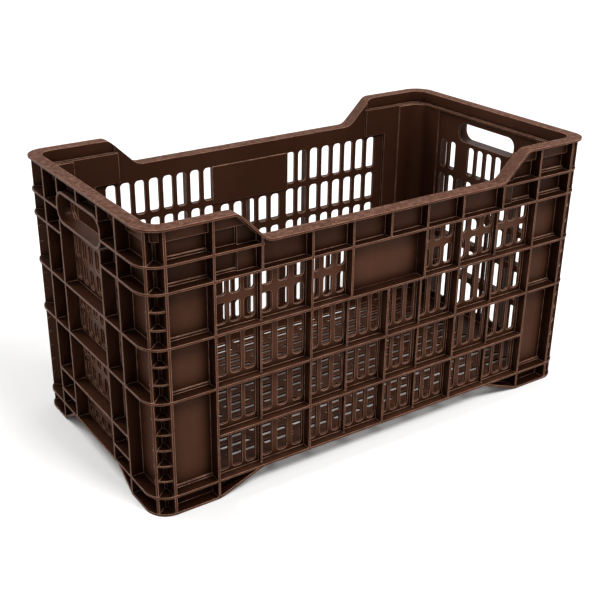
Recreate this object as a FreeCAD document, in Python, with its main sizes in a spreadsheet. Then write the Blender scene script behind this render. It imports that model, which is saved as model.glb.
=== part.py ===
import FreeCAD, Part
import Sketcher
import math
import os

# A one-piece injection-moulded plastic crate for produce.
# Millimetres, +Z up, +X along the length.  The origin is the centre of the
# footprint on the ground: the feet stand on Z = 0.
# -Y is the long front wall, -X the short left wall.

doc = FreeCAD.newDocument("produce_crate")
V = FreeCAD.Vector

# ---------------------------------------------------------------- dimensions
sheet = doc.addObject("Spreadsheet::Sheet", "sizes")
CELLS = [
    # overall
    ("rim_half_x", 280.0), ("rim_half_y", 147.5), ("total_height", 304.6),
    ("rim_corner", 24.0), ("rim_thick", 2.2),
    ("rim_in_x", 266.0), ("rim_in_y", 133.0), ("rim_in_corner", 14.0),
    ("throat_x", 261.2), ("throat_y", 127.5), ("throat_corner", 12.0),
    # along the dip of the rim the long walls stand as far out as the slotted fields
    ("dip_field", 178.0),
    # outline that the outside ribs reach
    ("tip_x", 280.0), ("tip_y", 143.6), ("tip_corner", 24.0),
    # plain skin
    ("skin_x", 266.0), ("skin_y", 130.3), ("skin_corner", 16.0), ("wall", 2.8),
    # collar above the inner ledge
    ("ledge_low", 288.0), ("ledge_top", 290.5),
    # slotted fields of the long walls stand further out than the plain skin
    ("field_half", 206.0), ("field_y", 133.6),
    ("front_field_top", 239.9), ("back_field_top", 255.8),
    # floor
    ("floor_low", 21.2), ("floor_top", 24.0),
    # ribs
    ("rib", 2.2), ("post_rib", 2.6), ("minor_depth", 138.6), ("minor_rib", 2.0),
    ("level_a", 267.6), ("level_b", 241.0), ("level_c", 185.3), ("level_d", 128.0),
    ("level_e", 73.6), ("level_f", 21.2), ("level_side_e", 67.9), ("level_side_f", 40.6),
    ("long_main", 208.0), ("long_mid", 97.5), ("long_minor_in", 48.5), ("long_minor_out", 154.5),
    ("strip_in", 48.25), ("strip_out", 155.5),
    ("short_main", 88.0), ("short_mid", 49.5),
    ("post_x", 257.4), ("post_y", 119.6), ("post_cx", 256.0), ("post_r", 23.3), ("post_angle", 41.0),
    ("post_ring_r", 21.0), ("post_ring", 1.8),
    # back and right wall dividers
    ("back_row_a", 257.6), ("back_row_b", 208.4), ("back_row_c", 166.0), ("back_row_d", 123.8), ("back_row_e", 75.5),
    ("back_mid", 86.0),
    ("right_row_a", 211.2), ("right_row_b", 165.8), ("right_row_c", 120.3), ("right_row_d", 74.8),
    # rim is lower along the middle of both long walls
    ("dip_top", 272.5), ("dip_low_half", 150.5), ("dip_high_half", 183.5), ("dip_round_low", 16.0), ("dip_round_high", 13.0),
    # feet
    ("arch_top", 20.1), ("long_arch_low", 208.0), ("long_arch_high", 154.0),
    ("short_arch_low", 88.0), ("short_arch_high", 57.0), ("foot_plate", 2.2),
    # hand-holes
    ("hand_ring_half", 54.0), ("hand_ring_low", 254.5), ("hand_ring_high", 289.5), ("hand_ring_round", 15.5), ("hand_ring_wall", 2.5),
    ("hand_half", 48.5), ("hand_low", 257.0), ("hand_high", 281.0), ("hand_round", 11.0),
    # blank label fields
    ("front_label_half", 47.1), ("front_label_low", 186.4), ("front_label_y", 130.6),
    ("back_label_half", 54.0), ("back_label_low", 206.6), ("back_label_in_y", 129.2), ("back_label_high", 253.2),
    # front slots
    ("fs_round", 4.0), ("fs_w_in", 10.5), ("fs_w_out", 12.0),
    ("fs_row_low", 25.6), ("fs_row_tall", 44.6), ("fs_row_pitch", 54.45),
    ("fs_b_low", 190.6), ("fs_b_tall", 22.6), ("fs_a_low", 220.4), ("fs_a_tall", 16.8),
    ("fs_one", 8.75), ("fs_one_pitch", 15.0), ("fs_two", 56.5), ("fs_two_pitch", 15.7),
    ("fs_three", 107.6), ("fs_three_pitch", 18.65), ("fs_four", 164.9), ("fs_four_pitch", 16.1),
    # back slots
    ("bs_round", 4.6), ("bs_w", 12.4), ("bs_pitch", 18.1), ("bs_outer", 59.2), ("bs_inner_pitch", 18.2),
    ("bs_top_low", 212.0), ("bs_top_tall", 41.0), ("bs_low", 127.0), ("bs_tall", 36.0), ("bs_row_pitch", 42.0),
    ("bs_three_low", 79.0), ("bs_three_tall", 41.5), ("bs_four_low", 46.0), ("bs_four_tall", 26.0),
    ("bs_mid_cut", 4.4),
    # left slots
    ("ls_round", 4.2), ("ls_w", 11.0), ("ls_in", 8.0), ("ls_in_pitch", 15.9), ("ls_out", 57.6), ("ls_out_pitch", 16.3), ("ls_w_out", 10.6),
    ("ls_up_low", 97.4), ("ls_up_tall", 23.4), ("ls_up_pitch", 58.6),
    ("ls_dn_low", 71.6), ("ls_dn_tall", 21.2), ("ls_dn_pitch", 59.35),
    ("ls_e_low", 43.4), ("ls_e_tall", 20.2), ("ls_f_low", 25.2), ("ls_f_tall", 12.8),
    # right slots
    ("rs_top_low", 215.5), ("rs_top_tall", 36.6), ("rs_low", 33.6), ("rs_tall", 37.0), ("rs_row_pitch", 45.5),
    # floor slots
    ("gs_long", 38.0), ("gs_wide", 6.6), ("gs_round", 3.0), ("gs_pitch_x", 46.0), ("gs_pitch_y", 14.6), ("gs_first_x", 23.0), ("gs_first_y", 7.3),
    # small steps
    ("lining", 1.4), ("lining_x", 229.0), ("lining_y", 86.0), ("root_step", 1.3),
]
for row, (alias, value) in enumerate(CELLS, start=1):
    sheet.set("A%d" % row, alias)
    sheet.set("B%d" % row, "%g" % value)
    sheet.setAlias("B%d" % row, alias)
doc.recompute()
D = {alias: float(getattr(sheet, alias)) for alias, _ in CELLS}


def ex(text):
    """Turns bare alias names in an expression into references to the sheet."""
    out, word = [], ""
    for ch in text + " ":
        if ch.isalnum() or ch == "_":
            word += ch
        else:
            if word:
                out.append("sizes." + word if word in D else word)
                word = ""
            out.append(ch)
    return "".join(out).strip()


def bind(obj, prop, text):
    obj.setExpression(prop, ex(str(text)))


def num(text):
    """The present value of such an expression."""
    text = str(text)
    for key in sorted(D, key=len, reverse=True):
        text = text.replace(key, "(%r)" % D[key])
    total = FreeCAD.Units.parseQuantity(text)
    return float(total.Value)


# ---------------------------------------------------------------- primitives
def box(name, x0, x1, y0, y1, z0, z1):
    b = doc.addObject("Part::Box", name)
    bind(b, "Length", "(%s)-(%s)" % (x1, x0))
    bind(b, "Width", "(%s)-(%s)" % (y1, y0))
    bind(b, "Height", "(%s)-(%s)" % (z1, z0))
    bind(b, "Placement.Base.x", x0)
    bind(b, "Placement.Base.y", y0)
    bind(b, "Placement.Base.z", z0)
    return b


def rounded_outline(sk, u0, u1, v0, v1, r):
    """A rectangle with four equal corner arcs, held by constraints whose
    values come from the sheet.  u0 and v0 may lie either side of the axes."""
    a0, a1, b0, b1, q = num(u0), num(u1), num(v0), num(v1), num(r)
    L = lambda p, s: sk.addGeometry(Part.LineSegment(V(p[0], p[1], 0), V(s[0], s[1], 0)), False)
    C = lambda c, s, e: sk.addGeometry(Part.ArcOfCircle(Part.Circle(V(c[0], c[1], 0), V(0, 0, 1), q), s, e), False)
    lo = L((a0 + q, b0), (a1 - q, b0))
    br = C((a1 - q, b0 + q), 1.5 * math.pi, 2 * math.pi)
    ri = L((a1, b0 + q), (a1, b1 - q))
    tr = C((a1 - q, b1 - q), 0, 0.5 * math.pi)
    up = L((a1 - q, b1), (a0 + q, b1))
    tl = C((a0 + q, b1 - q), 0.5 * math.pi, math.pi)
    le = L((a0, b1 - q), (a0, b0 + q))
    bl = C((a0 + q, b0 + q), math.pi, 1.5 * math.pi)
    ring = [lo, br, ri, tr, up, tl, le, bl]
    con = [Sketcher.Constraint("Tangent", ring[i], 2, ring[(i + 1) % 8], 1) for i in range(8)]
    con += [Sketcher.Constraint("Horizontal", lo), Sketcher.Constraint("Horizontal", up),
            Sketcher.Constraint("Vertical", ri), Sketcher.Constraint("Vertical", le),
            Sketcher.Constraint("Equal", br, tr), Sketcher.Constraint("Equal", tr, tl), Sketcher.Constraint("Equal", tl, bl)]
    sk.addConstraint(con)
    i = sk.addConstraint(Sketcher.Constraint("Radius", br, q))
    sk.setExpression("Constraints[%d]" % i, ex(str(r)))
    for kind, geo, text, val in (("DistanceX", ri, u1, a1), ("DistanceY", up, v1, b1),
                                 ("DistanceX", le, u0, a0), ("DistanceY", lo, v0, b0)):
        if val >= 0:
            i = sk.addConstraint(Sketcher.Constraint(kind, -1, 1, geo, 1, val))
            sk.setExpression("Constraints[%d]" % i, ex(str(text)))
        else:
            i = sk.addConstraint(Sketcher.Constraint(kind, geo, 1, -1, 1, -val))
            sk.setExpression("Constraints[%d]" % i, ex("-(%s)" % text))


TURN = {
    "XY": FreeCAD.Rotation(),
    "XZ": FreeCAD.Rotation(V(1, 0, 0), 90),          # sketch x = X, sketch y = Z, normal = -Y
    "YZ": FreeCAD.Rotation(V(0, 0, 1), 90).multiply(FreeCAD.Rotation(V(1, 0, 0), 90)),  # x = Y, y = Z, normal = +X
}


def prism(name, plane, outline, at, length):
    """Extrudes an outline.  at is the place of the sketch along its normal."""
    sk = doc.addObject("Sketcher::SketchObject", name + "_outline")
    sk.Placement = FreeCAD.Placement(V(0, 0, 0), TURN[plane])
    prop = {"XY": "z", "XZ": "y", "YZ": "x"}[plane]
    bind(sk, "Placement.Base." + prop, "-(%s)" % at if plane == "XZ" else at)
    outline(sk)
    e = doc.addObject("Part::Extrusion", name)
    e.Base = sk
    e.DirMode = "Normal"
    e.Solid = True
    bind(e, "LengthFwd", length)
    return e


def rounded(name, hx, hy, r, z0, z1):
    return prism(name, "XY", lambda sk: rounded_outline(sk, "-(%s)" % hx, hx, "-(%s)" % hy, hy, r), z0, "(%s)-(%s)" % (z1, z0))


def closed_path(points):
    """Lines through the points; a point with a radius gets a tangent arc."""
    n = len(points)
    ends = []
    for i in range(n):
        p = points[i]
        r = p[2] if len(p) > 2 else 0
        if r <= 0:
            ends.append((p[:2], p[:2], None))
            continue
        a, b = points[i - 1], points[(i + 1) % n]
        ua = (V(a[0], a[1], 0) - V(p[0], p[1], 0)).normalize()
        ub = (V(b[0], b[1], 0) - V(p[0], p[1], 0)).normalize()
        half = math.acos(max(-1, min(1, ua.dot(ub)))) / 2
        d = r / math.tan(half)
        s, e = V(p[0], p[1], 0) + ua * d, V(p[0], p[1], 0) + ub * d
        mid = (ua + ub).normalize()
        c = V(p[0], p[1], 0) + mid * (r / math.sin(half))
        m = c - mid * r
        ends.append(((s.x, s.y), (e.x, e.y), m))
    out = []
    for i in range(n):
        s, e, m = ends[i]
        if m is not None:
            out.append(Part.Arc(V(s[0], s[1], 0), m, V(e[0], e[1], 0)))
        nxt = ends[(i + 1) % n][0]
        if (V(e[0], e[1], 0) - V(nxt[0], nxt[1], 0)).Length > 1e-6:
            out.append(Part.LineSegment(V(e[0], e[1], 0), V(nxt[0], nxt[1], 0)))
    return out


def path_outline(points):
    def draw(sk):
        ids = [sk.addGeometry(g, False) for g in closed_path(points)]
        joins = []
        for i in range(len(ids)):
            a, b = ids[i], ids[(i + 1) % len(ids)]
            for pa, pb in ((2, 1), (2, 2), (1, 1), (1, 2)):
                if (sk.getPoint(a, pa) - sk.getPoint(b, pb)).Length < 1e-6:
                    joins.append(Sketcher.Constraint("Coincident", a, pa, b, pb))
                    break
        sk.addConstraint(joins)
        sk.addConstraint([Sketcher.Constraint("Block", i) for i in ids])
    return draw


def fuse(name, parts):
    f = doc.addObject("Part::MultiFuse", name)
    f.Shapes = parts
    f.Refine = False
    return f


def cut(name, base, tool):
    c = doc.addObject("Part::Cut", name)
    c.Base, c.Tool, c.Refine = base, tool, False
    return c


def common(name, parts):
    c = doc.addObject("Part::MultiCommon", name)
    c.Shapes, c.Refine = parts, False
    return c


def mirror(name, source, normal):
    m = doc.addObject("Part::Mirroring", name)
    m.Source, m.Base, m.Normal = source, V(0, 0, 0), normal
    return m


def level(z, t="rib"):
    return "%s-%s/2" % (z, t), "%s+%s/2" % (z, t)


# ---------------------------------------------------------------- blocks
# The walls start as full blocks.  The hollow inside is cut out later.
core = rounded("core", "skin_x", "skin_y", "skin_corner", 0, "ledge_top")
collar = rounded("collar", "rim_in_x+wall", "rim_in_y+wall", "rim_in_corner+wall", "ledge_low", "total_height-1")
dip_wall = box("dip_wall", "-dip_field", "dip_field", "-field_y", "field_y", "level_b", "total_height-1")
bulge_front =box("bulge_front", "-field_half-wall", "field_half+wall", "-field_y", 0, "arch_top", "level_b+rib/2")
bulge_back = box("bulge_back", "-field_half-wall", "field_half+wall", 0, "field_y", "arch_top", "back_row_a+rib/2")

# ---------------------------------------------------------------- rib rings
rings = []
for tag in ("a", "b", "c", "d", "f"):
    lo, hi = level("level_" + tag)
    rings.append(rounded("ring_" + tag, "tip_x", "tip_y", "tip_corner", lo, hi))
ring_stack = fuse("ring_stack", rings)
trims = [
    box("trim_back", "-long_main+1", "long_main-1", "field_y", "tip_y+5", "level_f+4", "back_row_a+3"),
    box("trim_right", "skin_x", "tip_x+5", "-short_main+1", "short_main-1", "level_f+4", "level_b+4"),
    box("trim_left_b", "-tip_x-5", "-skin_x", "-short_mid+1", "short_mid-1", "level_b-3", "level_b+3"),
    box("trim_dip_front", "-dip_low_half-3", "dip_low_half+3", "-tip_y-5", "-skin_y", "level_a-3", "level_a+3"),
    box("trim_dip_back", "-dip_low_half-3", "dip_low_half+3", "skin_y", "tip_y+5", "level_a-3", "level_a+3"),
    box("trim_hand_left", "-tip_x-5", "-skin_x", "-hand_ring_half+1", "hand_ring_half-1", "level_a-3", "level_a+3"),
    box("trim_hand_right", "skin_x", "tip_x+5", "-hand_ring_half+1", "hand_ring_half-1", "level_a-3", "level_a+3"),
]
ring_ribs = cut("ring_ribs", ring_stack, fuse("ring_trims", trims))

ribs = []


def rail_long(name, side, z, x0, x1, out="tip_y", t="rib"):
    lo, hi = level(z, t)
    if side < 0:
        ribs.append(box(name, x0, x1, "-(%s)" % out, "-skin_y", lo, hi))
    else:
        ribs.append(box(name, x0, x1, "skin_y", out, lo, hi))


def rail_short(name, side, z, y0, y1, t="rib"):
    lo, hi = level(z, t)
    if side < 0:
        ribs.append(box(name, "-tip_x", "-skin_x+1", y0, y1, lo, hi))
    else:
        ribs.append(box(name, "skin_x-1", "tip_x", y0, y1, lo, hi))


def post_long(name, side, x, z0, z1, out="tip_y", t="rib"):
    for k, s in (("r", ""), ("l", "-")) if num(x) else (("c", ""),):
        x0, x1 = "%s(%s)-%s/2" % (s, x, t), "%s(%s)+%s/2" % (s, x, t)
        if side < 0:
            ribs.append(box(name + "_" + k, x0, x1, "-(%s)" % out, "-skin_y+1", z0, z1))
        else:
            ribs.append(box(name + "_" + k, x0, x1, "skin_y-1", out, z0, z1))


def post_short(name, side, y, z0, z1, t="rib"):
    for k, s in (("b", ""), ("f", "-")) if num(y) else (("c", ""),):
        y0, y1 = "%s(%s)-%s/2" % (s, y, t), "%s(%s)+%s/2" % (s, y, t)
        if side < 0:
            ribs.append(box(name + "_" + k, "-tip_x", "-skin_x+1", y0, y1, z0, z1))
        else:
            ribs.append(box(name + "_" + k, "skin_x-1", "tip_x", y0, y1, z0, z1))


TOP = "total_height-1"
# front wall
rail_long("front_rail_e", -1, "level_e", "-long_main", "long_main")
post_long("front_main", -1, "long_main", 0, TOP)
post_long("front_mid", -1, "long_mid", "arch_top", TOP)
post_long("front_centre_low", -1, 0, "arch_top", "level_c")
post_long("front_centre_high", -1, 0, "level_b", TOP)
post_long("front_label_side", -1, "strip_in", "level_c", TOP)
post_long("front_strip_out", -1, "strip_out", "level_b", TOP)
post_long("front_minor_in", -1, "long_minor_in", "arch_top", "level_c", "minor_depth", "minor_rib")
post_long("front_minor_out", -1, "long_minor_out", "arch_top", "level_b", "minor_depth", "minor_rib")
# back wall
for tag in ("a", "b", "c", "d", "e"):
    rail_long("back_rail_" + tag, 1, "back_row_" + tag, "-long_main", "long_main")
post_long("back_main", 1, "long_main", 0, TOP)
post_long("back_mid", 1, "back_mid", "arch_top", TOP)
post_long("back_centre_low", 1, 0, "arch_top", "back_row_b")
post_long("back_centre_high", 1, 0, "back_row_a", TOP)
post_long("back_label_side", 1, "strip_in", "back_row_b", TOP)
post_long("back_strip_out", 1, "strip_out", "back_row_a", TOP)
# short walls
for side, word in ((-1, "left"), (1, "right")):
    post_short(word + "_main", side, "short_main", 0, TOP)
    post_short(word + "_mid", side, "short_mid", "arch_top", "hand_ring_low+2")
    post_short(word + "_high", side, "short_mid", "hand_ring_high-4", TOP)
    post_short(word + "_high_centre", side, 0, "hand_ring_high-1.5", TOP)
rail_short("left_rail_e", -1, "level_side_e", "-short_main", "short_main")
rail_short("left_rail_f_back", -1, "level_side_f", "short_mid", "short_main")
rail_short("left_rail_f_front", -1, "level_side_f", "-short_main", "-short_mid")
for tag in ("a", "b", "c", "d"):
    rail_short("right_rail_" + tag, 1, "right_row_" + tag, "-short_main", "short_main")

# ---------------------------------------------------------------- corner posts
# Two upright ribs with a ladder of small rings between them, on each corner.
flank = box("post_flank", "post_x-post_rib/2", "post_x+post_rib/2", "post_y", "tip_y-0.3", 0, TOP)
fin = doc.addObject("Part::Box", "post_fin")
bind(fin, "Length", "post_r")
bind(fin, "Width", "post_rib")
bind(fin, "Height", TOP)
fin.Placement = FreeCAD.Placement(V(0, 0, 0), FreeCAD.Rotation(V(0, 0, 1), D["post_angle"]))
bind(fin, "Placement.Base.x", "post_cx+sin(post_angle)*post_rib/2")
bind(fin, "Placement.Base.y", "post_y-cos(post_angle)*post_rib/2")
discs = []
for i, z in enumerate((222.5, 204.0, 166.0, 147.0, 110.0, 92.0, 74.5, 56.5, 39.0)):
    c = doc.addObject("Part::Cylinder", "post_ring_%d" % (i + 1))
    bind(c, "Radius", "post_ring_r")
    bind(c, "Height", "post_ring")
    bind(c, "Placement.Base.x", "post_cx")
    bind(c, "Placement.Base.y", "post_y")
    bind(c, "Placement.Base.z", "%g-post_ring/2" % z)
    discs.append(c)
ladder = cut("ladder", fuse("ladder_discs", discs), fuse("ladder_trims", [
    box("ladder_trim_side", "skin_x-1", "tip_x+5", "post_y-30", "post_y+11", 0, TOP),
    box("ladder_trim_long", "post_cx-40", "post_x", "skin_y-1", "tip_y+5", 0, TOP),
]))
corner_pp = fuse("corner_back_right", [flank, fin, ladder])
corner_np = mirror("corner_back_left", corner_pp, V(1, 0, 0))
corner_pn = mirror("corner_front_right", corner_pp, V(0, 1, 0))
corner_nn = mirror("corner_front_left", corner_np, V(0, 1, 0))

# ---------------------------------------------------------------- hand-hole collars
hand_block = prism("hand_block", "YZ", lambda sk: rounded_outline(
    sk, "-hand_ring_half", "hand_ring_half", "hand_ring_low", "hand_ring_high", "hand_ring_round"), "-tip_x", "2*tip_x")

outside = fuse("outside", [core, collar, dip_wall, bulge_front, bulge_back, ring_ribs] + ribs +
               [corner_pp, corner_np, corner_pn, corner_nn, hand_block])

# ---------------------------------------------------------------- hollows
hollow_throat = rounded("hollow_throat", "throat_x", "throat_y", "throat_corner", "floor_top", "ledge_top+2")
hollow_main = rounded("hollow_main", "skin_x-wall", "skin_y-wall", "skin_corner-wall", "floor_top", "ledge_low")
hollow_collar = cut("hollow_collar",
                    rounded("hollow_collar_all", "rim_in_x", "rim_in_y", "rim_in_corner", "ledge_top", "total_height+20"),
                    fuse("dip_keep", [box("dip_keep_front", "-dip_field", "dip_field", "-field_y-5", "-field_y+wall", "ledge_top-1", "total_height+21"),
                                      box("dip_keep_back", "-dip_field", "dip_field", "field_y-wall", "field_y+5", "ledge_top-1", "total_height+21")]))
hollow_dip = fuse("hollow_dip", [
    box("hollow_dip_front", "-dip_field+wall", "dip_field-wall", "-field_y+wall", 0, "level_b+1.4", "total_height+20"),
    box("hollow_dip_back", "-dip_field+wall", "dip_field-wall", 0, "field_y-wall", "back_field_top-1", "total_height+20")])
hollow_under = rounded("hollow_under", "skin_x-wall", "skin_y-wall", "skin_corner-wall", -5, "floor_low")
window_front = cut("window_front",
                   box("window_front_all", "-field_half", "field_half", "-field_y+wall", 0, "floor_top", "front_field_top"),
                   box("label_front_keep", "-front_label_half", "front_label_half", "-field_y", "-skin_y+wall", "front_label_low", "front_field_top+1"))
window_back = cut("window_back",
                  box("window_back_all", "-field_half", "field_half", 0, "field_y-wall", "floor_top", "back_field_top"),
                  box("label_back_keep", "-back_label_half", "back_label_half", "back_label_in_y", "field_y", "back_label_low", "back_label_high"))
label_front = box("label_front", "-front_label_half", "front_label_half", "-field_y-1", "-front_label_y", "front_label_low", "front_field_top")
label_back = box("label_back", "-front_label_half", "front_label_half", "field_y-1.6", "field_y+1", "back_row_b+rib/2", "back_row_a-rib/2")
hand_recess_r = prism("hand_recess_right", "YZ", lambda sk: rounded_outline(
    sk, "-hand_ring_half+hand_ring_wall", "hand_ring_half-hand_ring_wall", "hand_ring_low+hand_ring_wall",
    "hand_ring_high-hand_ring_wall", "hand_ring_round-hand_ring_wall"), "skin_x", 30)
hand_recess_l = mirror("hand_recess_left", hand_recess_r, V(1, 0, 0))
hand_through = prism("hand_through", "YZ", lambda sk: rounded_outline(
    sk, "-hand_half", "hand_half", "hand_low", "hand_high", "hand_round"), "-tip_x-10", "2*tip_x+20")

# the walls rise to an arch between the feet
la, lb, at = D["long_arch_low"], D["long_arch_high"], D["arch_top"]
sa, sb = D["short_arch_low"], D["short_arch_high"]
arch_long = prism("arch_long", "XZ", path_outline([(-la, -5), (la, -5), (la, 0), (lb, at), (-lb, at), (-la, 0)]), "-(rim_half_y+10)", "2*rim_half_y+20")
arch_short = prism("arch_short", "YZ", path_outline([(-sa, -5), (sa, -5), (sa, 0), (sb, at), (-sb, at), (-sa, 0)]), "-(rim_half_x+10)", "2*rim_half_x+20")

hollow_top = fuse("hollow_top", [hollow_collar, hollow_dip])
hollows = fuse("hollows", [hollow_throat, hollow_main, hollow_top, hollow_under, window_front, window_back,
                           label_front, label_back, hand_recess_r, hand_recess_l, hand_through, arch_long, arch_short])
shell = cut("shell", outside, hollows)

# ---------------------------------------------------------------- rim
# The rim is a flat flange that steps down along the middle of the long walls.
Z, dip, lo_h, hi_h = D["total_height"], D["dip_top"], D["dip_low_half"], D["dip_high_half"]
rl, rh, th = D["dip_round_low"], D["dip_round_high"], D["rim_thick"]
slope = math.atan2(Z - dip, hi_h - lo_h)
off = th * math.tan(slope / 2)                # how far the lower line's bends move
under = [(-320, -20), (320, -20), (320, Z - 1), (hi_h + 0.4, Z - 1, rh), (lo_h + 0.4, dip - 1, rl),
         (-lo_h - 0.4, dip - 1, rl), (-hi_h - 0.4, Z - 1, rh), (-320, Z - 1)]
band = [(320, Z), (hi_h, Z, rh), (lo_h, dip, rl), (-lo_h, dip, rl), (-hi_h, Z, rh), (-320, Z),
        (-320, Z - th), (-hi_h - off, Z - th, rh - th), (-lo_h - off, dip - th, rl + th),
        (lo_h + off, dip - th, rl + th), (hi_h + off, Z - th, rh - th), (320, Z - th)]
under_prism = prism("below_rim", "XZ", path_outline(under), "-(rim_half_y+10)", "2*rim_half_y+20")
band_prism = prism("rim_band", "XZ", path_outline(band), "-(rim_half_y+10)", "2*rim_half_y+20")
rim_block = rounded("rim_block", "rim_half_x", "rim_half_y", "rim_corner", "dip_top-10", "total_height+1")
rim = cut("rim", common("rim_strip", [rim_block, band_prism]), hollow_top)
trimmed = common("trimmed", [shell, under_prism])

# ---------------------------------------------------------------- feet
ft = D["foot_plate"]
n_l = math.hypot(la - lb, at)
n_s = math.hypot(sa - sb, at)
tl_, ts_ = ft * n_l / (la - lb), ft * n_s / (sa - sb)   # plate thickness measured upright
foot_plan = cut("foot_plan", rounded("foot_plan_all", "tip_x", "tip_y", "tip_corner", 0, "level_f+rib/2"), hollow_under)


def foot_band(name, plane, a, b, t_up, reach):
    bands = []
    for k, s in (("p", 1), ("n", -1)):
        pts = [(s * a, 0), (s * b, at), (s * b, at + ft), (s * (b + 1), at + ft), (s * (a + 1), ft), (s * 300, ft), (s * 300, 0)]
        bands.append(prism("%s_%s" % (name, k), plane, path_outline(pts), reach[0], reach[1]))
    return fuse(name, bands)


foot_long = foot_band("foot_long", "XZ", la, lb, tl_, ("-(rim_half_y+10)", "2*rim_half_y+20"))
foot_short = foot_band("foot_short", "YZ", sa, sb, ts_, ("-(rim_half_x+10)", "2*rim_half_x+20"))
zone_long = fuse("zone_long", [box("zone_front", "-tip_x-5", "tip_x+5", "-tip_y-5", "-skin_y+1", -1, 30),
                               box("zone_back", "-tip_x-5", "tip_x+5", "skin_y-1", "tip_y+5", -1, 30)])
zone_short = fuse("zone_short", [box("zone_left", "-tip_x-5", "-skin_x+1", "-tip_y-5", "tip_y+5", -1, 30),
                                 box("zone_right", "skin_x-1", "tip_x+5", "-tip_y-5", "tip_y+5", -1, 30)])
feet = [common("foot_plates_long", [foot_plan, foot_long, zone_long]),
        common("foot_plates_short", [foot_plan, foot_short, zone_short])]

# ---------------------------------------------------------------- inner corner linings
lining_zone = box("lining_zone", "lining_x", "skin_x", "lining_y", "skin_y", "floor_low", "ledge_low+1")
lining_ring = cut("lining_ring", rounded("lining_out", "skin_x-wall/2", "skin_y-wall/2", "skin_corner-wall/2", "floor_low", "ledge_low+1"),
                  rounded("lining_in", "skin_x-wall-lining", "skin_y-wall-lining", "skin_corner", 0, "total_height"))
lining_pp = common("lining_back_right", [lining_ring, lining_zone])
lining_np = mirror("lining_back_left", lining_pp, V(1, 0, 0))
lining_pn = mirror("lining_front_right", lining_pp, V(0, 1, 0))
lining_nn = mirror("lining_front_left", lining_np, V(0, 1, 0))

# ---------------------------------------------------------------- small steps at rib roots
steps = []
for side, word in ((-1, "front"), (1, "back")):
    for k, s in (("r", 1), ("l", -1)):
        for tag in ("a", "b", "c", "d", "f"):
            z = "level_%s+rib/2" % tag
            x0, x1 = ("long_main", "post_x") if s > 0 else ("-post_x", "-long_main")
            y0, y1 = ("-skin_y-root_step", "-skin_y+1") if side < 0 else ("skin_y-1", "skin_y+root_step")
            steps.append(box("step_%s_%s_%s" % (word, tag, k), x0, x1, y0, y1, "level_%s" % tag, z + "+root_step+1.4"))
for k, x0, x1 in (("l", "-long_main", "-dip_field+1"), ("r", "dip_field-1", "long_main")):
    steps.append(box("step_strip_front_" + k, x0, x1, "-skin_y-root_step", "-skin_y+1", "level_b", "level_b+rib/2+root_step+1.4"))
    steps.append(box("step_strip_back_" + k, x0, x1, "skin_y-1", "skin_y+root_step", "back_row_a", "back_row_a+rib/2+root_step+1.4"))

whole = fuse("whole", [trimmed, rim] + feet + [lining_pp, lining_np, lining_pn, lining_nn] + steps)

# ---------------------------------------------------------------- slots
# Each group of slots is one padded slot, repeated in rows and columns.

def slot_body(name):
    b = doc.addObject("PartDesign::Body", name)
    if hasattr(b, "AllowCompound"):
        b.AllowCompound = True
    return b


def origin(body, role):
    return [f for f in body.Origin.OriginFeatures if f.Role == role][0]


def slot_group(body, name, plane, u0, u1, v0, v1, r, at, depth, nu=1, pu=0, nv=1, pv=0, both=True, across_v=False):
    """plane XZ: u along X, v along Z.  YZ: u along Y.  XY: u along X, v along Y.
    at is the place of the sketch along the plane's outward axis."""
    sk = body.newObject("Sketcher::SketchObject", name + "_slot")
    sk.AttachmentSupport = [(origin(body, plane + "_Plane"), "")]
    sk.MapMode = "FlatFace"
    bind(sk, "AttachmentOffset.Base.z", at)
    rounded_outline(sk, u0, u1, v0, v1, r)
    pad = body.newObject("PartDesign::Pad", name + "_pad")
    pad.Profile = sk
    bind(pad, "Length", depth)
    body.recompute(True)
    tip = pad
    ua, va = {"XZ": ("X_Axis", "Z_Axis"), "YZ": ("Y_Axis", "Z_Axis"), "XY": ("X_Axis", "Y_Axis")}[plane]
    forms = []
    mt = None
    if nu > 1 or nv > 1 or both or across_v:
        mt = body.newObject("PartDesign::MultiTransform", name + "_all")
        mt.Originals = [pad]
        for axis, n, pitch, key in ((ua, nu, pu, "cols"), (va, nv, pv, "rows")):
            if n > 1:
                lp = body.newObject("PartDesign::LinearPattern", "%s_%s" % (name, key))
                lp.Direction = (origin(body, axis), [""])
                lp.Occurrences = n
                bind(lp, "Length", "(%s)*%d" % (pitch, n - 1))
                forms.append(lp)
        if both:
            mi = body.newObject("PartDesign::Mirrored", name + "_mirror")
            mi.MirrorPlane = (origin(body, {"X_Axis": "YZ_Plane", "Y_Axis": "XZ_Plane"}[ua]), [""])
            forms.append(mi)
        if across_v:
            mi = body.newObject("PartDesign::Mirrored", name + "_mirror_v")
            mi.MirrorPlane = (origin(body, "XZ_Plane"), [""])
            forms.append(mi)
        mt.Transformations = forms
        tip = mt
    body.Tip = tip
    return tip


front = slot_body("front_slots")
FA = "field_y-wall-0.6"     # XZ plane's normal is -Y, so this is a distance to the front
FD = "wall+1"
for k, (c, p, w) in enumerate((("fs_one", "fs_one_pitch", "fs_w_in"), ("fs_two", "fs_two_pitch", "fs_w_in"),
                               ("fs_three", "fs_three_pitch", "fs_w_out"), ("fs_four", "fs_four_pitch", "fs_w_out"))):
    u0, u1 = "%s-%s/2" % (c, w), "%s+%s/2" % (c, w)
    slot_group(front, "front_%d" % (k + 1), "XZ", u0, u1, "fs_row_low", "fs_row_low+fs_row_tall", "fs_round", FA, FD, 3, p, 3, "fs_row_pitch")
    if k:
        slot_group(front, "front_b%d" % (k + 1), "XZ", u0, u1, "fs_b_low", "fs_b_low+fs_b_tall", "fs_round", FA, FD, 3, p)
        slot_group(front, "front_a%d" % (k + 1), "XZ", u0, u1, "fs_a_low", "fs_a_low+fs_a_tall", "fs_round", FA, FD, 3, p)

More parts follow.
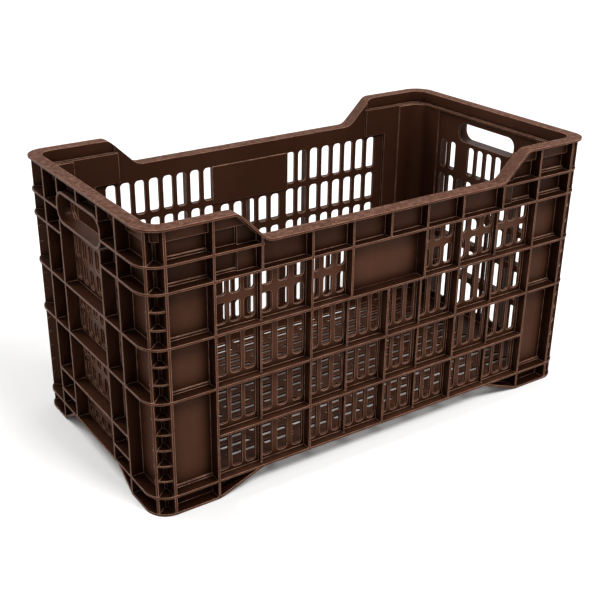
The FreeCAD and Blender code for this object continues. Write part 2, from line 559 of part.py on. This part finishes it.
back = slot_body("back_slots")
BA = "-(field_y+0.4)"
u0, u1 = "bs_outer-bs_w/2", "bs_outer+bs_w/2"
slot_group(back, "back_top", "XZ", u0, u1, "bs_top_low", "bs_top_low+bs_top_tall", "bs_round", BA, FD, 8, "bs_pitch")
for tag, low, tall, rows in (("two", "bs_low", "bs_tall", 2), ("three", "bs_three_low", "bs_three_tall", 1), ("four", "bs_four_low", "bs_four_tall", 1)):
    slot_group(back, "back_side_" + tag, "XZ", u0, u1, low, "%s+%s" % (low, tall), "bs_round", BA, FD, 8, "bs_pitch", rows, "bs_row_pitch")
    slot_group(back, "back_inner_" + tag, "XZ", "bs_inner_pitch-bs_w/2", "bs_inner_pitch+bs_w/2", low, "%s+%s-bs_mid_cut/2" % (low, tall), "bs_round", BA, FD, 2, "bs_inner_pitch", rows, "bs_row_pitch")
    slot_group(back, "back_centre_" + tag, "XZ", "-bs_w/2", "bs_w/2", low, "%s+%s-bs_mid_cut/2" % (low, tall), "bs_round", BA, FD, 1, 0, rows, "bs_row_pitch", both=False)

left = slot_body("left_slots")
LA = "-(skin_x+0.4)"
SD = "wall+1"
for k, (c, p, w, n) in enumerate((("ls_in", "ls_in_pitch", "ls_w", 3), ("ls_out", "ls_out_pitch", "ls_w_out", 2))):
    u0, u1 = "%s-%s/2" % (c, w), "%s+%s/2" % (c, w)
    slot_group(left, "left_up%d" % (k + 1), "YZ", u0, u1, "ls_up_low", "ls_up_low+ls_up_tall", "ls_round", LA, SD, n, p, 3, "ls_up_pitch")
    slot_group(left, "left_dn%d" % (k + 1), "YZ", u0, u1, "ls_dn_low", "ls_dn_low+ls_dn_tall", "ls_round", LA, SD, n, p, 3, "ls_dn_pitch")
    slot_group(left, "left_e%d" % (k + 1), "YZ", u0, u1, "ls_e_low", "ls_e_low+ls_e_tall", "ls_round", LA, SD, n, p)
    slot_group(left, "left_f%d" % (k + 1), "YZ", u0, u1, "ls_f_low", "ls_f_low+ls_f_tall", "ls_round", LA, SD, n, p)

right = slot_body("right_slots")
RA = "skin_x-wall-0.6"
for k, (c, p, w, n) in enumerate((("ls_in", "ls_in_pitch", "ls_w", 3), ("ls_out", "ls_out_pitch", "ls_w_out", 2))):
    u0, u1 = "%s-%s/2" % (c, w), "%s+%s/2" % (c, w)
    slot_group(right, "right_low%d" % (k + 1), "YZ", u0, u1, "rs_low", "rs_low+rs_tall", "ls_round", RA, SD, n, p, 4, "rs_row_pitch")
    slot_group(right, "right_top%d" % (k + 1), "YZ", u0, u1, "rs_top_low", "rs_top_low+rs_top_tall", "ls_round", RA, SD, 2, p)

ground = slot_body("floor_slots")
slot_group(ground, "floor", "XY", "gs_first_x-gs_long/2", "gs_first_x+gs_long/2", "gs_first_y-gs_wide/2", "gs_first_y+gs_wide/2", "gs_round",
           "floor_low-1", "floor_top-floor_low+2", 5, "gs_pitch_x", 8, "gs_pitch_y", both=True, across_v=True)

slots = fuse("slots", [front, back, left, right, ground])
crate = cut("crate", whole, slots)
crate.Label = "crate"
doc.recompute()

# ---------------------------------------------------------------- checks
bad = []
for o in doc.Objects:
    if any(word in ("Invalid", "Error") for word in o.State):
        bad.append("%s %s" % (o.Name, o.State))
    if o.isDerivedFrom("Part::Feature") and not o.isDerivedFrom("PartDesign::Transformed"):
        if o.Shape.isNull():
            bad.append(o.Name + " is null")
for body, least in ((front, 108), (back, 16 + 64 + 16 + 4), (left, 6 * 8 + 4 * 8), (right, 24 + 16 + 4 + 4), (ground, 160)):
    n = len(body.Shape.Solids)
    print(body.Name, "solids", n, "expected", least)
    if n != least:
        bad.append("%s has %d solids" % (body.Name, n))
if bad:
    raise SystemExit("failed objects: " + "; ".join(bad))
shape = crate.Shape
if shape.isNull() or not shape.isValid() or len(shape.Solids) != 1:
    raise SystemExit("crate: null %s valid %s solids %d" % (shape.isNull(), shape.isValid(), len(shape.Solids)))

bb = shape.BoundBox
print("crate box", [round(v, 2) for v in (bb.XMin, bb.YMin, bb.ZMin, bb.XMax, bb.YMax, bb.ZMax)],
      "volume cm3", round(shape.Volume / 1000.0, 1), "faces", len(shape.Faces))

os.makedirs("parts", exist_ok=True)
shape.exportStep("parts/crate.step")
print("wrote parts/crate.step")
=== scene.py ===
import bpy
import math
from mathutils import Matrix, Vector

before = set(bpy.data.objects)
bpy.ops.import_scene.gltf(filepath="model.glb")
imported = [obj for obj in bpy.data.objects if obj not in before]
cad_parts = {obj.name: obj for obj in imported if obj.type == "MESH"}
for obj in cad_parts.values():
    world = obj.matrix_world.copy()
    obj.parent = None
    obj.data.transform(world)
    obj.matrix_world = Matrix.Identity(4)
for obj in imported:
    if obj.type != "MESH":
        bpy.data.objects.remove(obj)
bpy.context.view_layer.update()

scene = bpy.context.scene
scene.view_settings.view_transform = "Standard"
scene.view_settings.look = "None"
scene.view_settings.exposure = 0.0
scene.view_settings.gamma = 1.0

# ------------------------------------------------------------------ camera
cam_data = bpy.data.cameras.new("camera")
cam = bpy.data.objects.new("camera", cam_data)
scene.collection.objects.link(cam)
cam.location = (-0.62451, -0.88552, 0.61690)
cam.rotation_euler = (math.radians(65.1355), 0.0, math.radians(-32.7116))
cam_data.sensor_fit = "HORIZONTAL"
cam_data.sensor_width = 36.0
cam_data.lens = 60.63
cam_data.shift_x = 0.0505
cam_data.shift_y = 0.0
cam_data.clip_start = 0.01
cam_data.clip_end = 50.0
scene.camera = cam


# ------------------------------------------------------------------ materials
def new_material(name):
    m = bpy.data.materials.new(name)
    m.use_nodes = True
    nt = m.node_tree
    for n in list(nt.nodes):
        nt.nodes.remove(n)
    out = nt.nodes.new("ShaderNodeOutputMaterial")
    bsdf = nt.nodes.new("ShaderNodeBsdfPrincipled")
    nt.links.new(bsdf.outputs["BSDF"], out.inputs["Surface"])
    return m, nt, bsdf


def noise(nt, coord, scale, detail=2.0, rough=0.5, stretch=None):
    n = nt.nodes.new("ShaderNodeTexNoise")
    n.noise_dimensions = "3D"
    n.inputs["Scale"].default_value = scale
    n.inputs["Detail"].default_value = detail
    n.inputs["Roughness"].default_value = rough
    src = coord
    if stretch:
        mp = nt.nodes.new("ShaderNodeMapping")
        mp.inputs["Scale"].default_value = stretch
        nt.links.new(coord, mp.inputs["Vector"])
        src = mp.outputs["Vector"]
    nt.links.new(src, n.inputs["Vector"])
    return n.outputs["Fac"]


def ramp(nt, fac, lo, hi, c0, c1):
    r = nt.nodes.new("ShaderNodeMapRange")
    r.inputs["From Min"].default_value = lo
    r.inputs["From Max"].default_value = hi
    r.inputs["To Min"].default_value = c0
    r.inputs["To Max"].default_value = c1
    nt.links.new(fac, r.inputs["Value"])
    return r.outputs["Result"]


def mix_rgb(nt, fac, a, b):
    m = nt.nodes.new("ShaderNodeMix")
    m.data_type = "RGBA"
    m.clamp_factor = True
    for sock, v in ((m.inputs[6], a), (m.inputs[7], b)):
        if isinstance(v, tuple):
            sock.default_value = v
        else:
            nt.links.new(v, sock)
    nt.links.new(fac, m.inputs[0])
    return m.outputs[2]


def math_node(nt, op, a, b):
    m = nt.nodes.new("ShaderNodeMath")
    m.operation = op
    for sock, v in ((m.inputs[0], a), (m.inputs[1], b)):
        if isinstance(v, float):
            sock.default_value = v
        else:
            nt.links.new(v, sock)
    return m.outputs[0]


def crate_plastic():
    """Dark brown polyethylene: satin, a little mottled, with flow streaks, a
    fine moulded grain, upper faces dulled by handling, edges rubbed pale and lightened by a painted highlight, and
    painted shade in the pockets and on the inner faces of the long walls."""
    m, nt, b = new_material("crate_plastic")
    tc = nt.nodes.new("ShaderNodeTexCoord")
    co = tc.outputs["Object"]
    broad = noise(nt, co, 9.0, 3.0, 0.55)
    streak = noise(nt, co, 42.0, 3.0, 0.6, (1.0, 1.0, 0.14))
    speck = noise(nt, co, 620.0, 2.0, 0.6)
    base = mix_rgb(nt, ramp(nt, broad, 0.32, 0.68, 0.0, 1.0), (0.0355, 0.0134, 0.0070, 1), (0.0495, 0.0190, 0.0103, 1))
    base = mix_rgb(nt, ramp(nt, streak, 0.45, 0.8, 0.0, 0.45), base, (0.0510, 0.0210, 0.0126, 1))
    base = mix_rgb(nt, ramp(nt, speck, 0.58, 0.8, 0.0, 0.30), base, (0.0550, 0.0245, 0.0155, 1))
    geo = nt.nodes.new("ShaderNodeNewGeometry")
    # the rim's top carries fine scuffs from stacking and handling
    sep = nt.nodes.new("ShaderNodeSeparateXYZ")
    nt.links.new(geo.outputs["Normal"], sep.inputs[0])
    place = nt.nodes.new("ShaderNodeSeparateXYZ")
    nt.links.new(co, place.inputs[0])
    up = math_node(nt, "MULTIPLY", ramp(nt, sep.outputs["Z"], 0.55, 0.95, 0.0, 1.0),
                   ramp(nt, place.outputs["Z"], 0.2700, 0.2712, 0.0, 1.0))
    scuff = ramp(nt, noise(nt, co, 190.0, 5.0, 0.75), 0.44, 0.62, 0.0, 0.90)
    base = mix_rgb(nt, math_node(nt, "MULTIPLY", up, scuff), base, (0.1000, 0.0510, 0.0360, 1))
    # rubbed edges and painted highlight: a pale colour where a rounded normal leaves the flat one, partly wear and
    # partly a painted highlight standing in for light catching the rounded edges
    bev = nt.nodes.new("ShaderNodeBevel")
    bev.samples = 6
    bev.inputs["Radius"].default_value = 0.0008
    dot = nt.nodes.new("ShaderNodeVectorMath")
    dot.operation = "DOT_PRODUCT"
    nt.links.new(bev.outputs["Normal"], dot.inputs[0])
    nt.links.new(geo.outputs["True Normal"], dot.inputs[1])
    edge_patchiness = ramp(nt, noise(nt, co, 75.0, 3.0, 0.6), 0.32, 0.62, 0.35, 1.0)
    edge_wear_and_highlight = math_node(nt, "MULTIPLY", ramp(nt, dot.outputs["Value"], 0.990, 0.84, 0.0, 0.95), edge_patchiness)
    # painted shade: darker colour in the pockets between the ribs, where shade falls
    occ = nt.nodes.new("ShaderNodeAmbientOcclusion")
    occ.samples = 8
    occ.only_local = True
    occ.inputs["Distance"].default_value = 0.030
    painted_pocket_shade = ramp(nt, occ.outputs["AO"], 0.84, 0.30, 0.0, 0.88)
    base = mix_rgb(nt, painted_pocket_shade, base, (0.0045, 0.0014, 0.0006, 1))
    # painted shade: a wide occlusion darkens the inside of the crate
    interior_shade_ao = nt.nodes.new("ShaderNodeAmbientOcclusion")
    interior_shade_ao.samples = 5
    interior_shade_ao.only_local = True
    interior_shade_ao.inputs["Distance"].default_value = 0.25
    base = mix_rgb(nt, ramp(nt, interior_shade_ao.outputs["AO"], 0.82, 0.38, 0.0, 0.80), base, (0.0070, 0.0020, 0.0008, 1))
    # painted shade: the inner faces of the long walls are darkened, standing in for the shade inside the crate
    painted_inner_shade = ramp(nt, math_node(nt, "MULTIPLY", place.outputs["Y"], sep.outputs["Y"]), -0.06, -0.11, 0.0, 0.55)
    base = mix_rgb(nt, painted_inner_shade, base, (0.0110, 0.0032, 0.0014, 1))
    # painted highlight plus edge wear: the pale edge colour goes on last
    base = mix_rgb(nt, edge_wear_and_highlight, base, (0.4400, 0.2450, 0.1750, 1))
    nt.links.new(base, b.inputs["Base Color"])
    rough = math_node(nt, "ADD", ramp(nt, noise(nt, co, 26.0, 3.0, 0.6), 0.3, 0.7, 0.28, 0.40), math_node(nt, "MULTIPLY", math_node(nt, "MAXIMUM", up, edge_wear_and_highlight), 0.32))
    nt.links.new(rough, b.inputs["Roughness"])
    nt.links.new(ramp(nt, edge_wear_and_highlight, 0.0, 0.8, 0.055, 0.0), b.inputs["Specular IOR Level"])
    b.inputs["IOR"].default_value = 1.5
    b.inputs["Specular Tint"].default_value = (1.0, 0.66, 0.50, 1)
    grain = nt.nodes.new("ShaderNodeBump")
    grain.inputs["Strength"].default_value = 0.18
    grain.inputs["Distance"].default_value = 0.0003
    nt.links.new(noise(nt, co, 1500.0, 2.0, 0.6), grain.inputs["Height"])
    nt.links.new(bev.outputs["Normal"], grain.inputs["Normal"])
    sink = nt.nodes.new("ShaderNodeBump")
    sink.inputs["Strength"].default_value = 0.30
    sink.inputs["Distance"].default_value = 0.0016
    nt.links.new(noise(nt, co, 55.0, 2.0, 0.5), sink.inputs["Height"])
    nt.links.new(grain.outputs["Normal"], sink.inputs["Normal"])
    nt.links.new(sink.outputs["Normal"], b.inputs["Normal"])
    return m


plastic = crate_plastic()
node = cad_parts["crate"] if isinstance(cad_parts, dict) else bpy.data.objects["crate"]
if isinstance(node, str):
    node = bpy.data.objects[node]
if not node.material_slots:
    node.data.materials.append(plastic)
for s in node.material_slots:
    s.material = plastic

# ------------------------------------------------------------------ floor
fm, fnt, fb = new_material("floor_white")
fb.inputs["Base Color"].default_value = (0.62, 0.62, 0.62, 1)
fb.inputs["Roughness"].default_value = 0.85
fb.inputs["Specular IOR Level"].default_value = 0.2
mesh = bpy.data.meshes.new("floor")
R = 9.0
mesh.from_pydata([(-R, -R, -0.0004), (R, -R, -0.0004), (R, R, -0.0004), (-R, R, -0.0004)], [], [(0, 1, 2, 3)])
floor = bpy.data.objects.new("floor", mesh)
scene.collection.objects.link(floor)
mesh.materials.append(fm)

# ------------------------------------------------------------------ light
world = bpy.data.worlds.new("studio")
world.use_nodes = True
scene.world = world
bg = world.node_tree.nodes["Background"]
bg.inputs["Color"].default_value = (1.0, 1.0, 1.0, 1)
bg.inputs["Strength"].default_value = 0.98


def area(name, loc, target, size, power, colour=(1, 1, 1)):
    d = bpy.data.lights.new(name, "AREA")
    d.shape = "RECTANGLE"
    d.size, d.size_y = size
    d.energy = power
    d.color = colour
    o = bpy.data.objects.new(name, d)
    scene.collection.objects.link(o)
    o.location = loc
    o.rotation_euler = (Vector(target) - Vector(loc)).to_track_quat("-Z", "Y").to_euler()
    return o


def sun(name, toward, strength, angle, colour=(1, 1, 1)):
    """toward points from the crate to the light."""
    d = bpy.data.lights.new(name, "SUN")
    d.energy = strength
    d.angle = math.radians(angle)
    d.color = colour
    o = bpy.data.objects.new(name, d)
    scene.collection.objects.link(o)
    o.rotation_euler = (-Vector(toward)).to_track_quat("-Z", "Y").to_euler()
    return o


sun("back_light", (-0.45, 0.90, 1.25), 2.4, 30.0, (1.0, 0.985, 0.97))
area("front_fill", (0.5, -1.7, 2.6), (0, 0, 0.15), (1.1, 0.9), 115.0, (1.0, 0.99, 0.98))

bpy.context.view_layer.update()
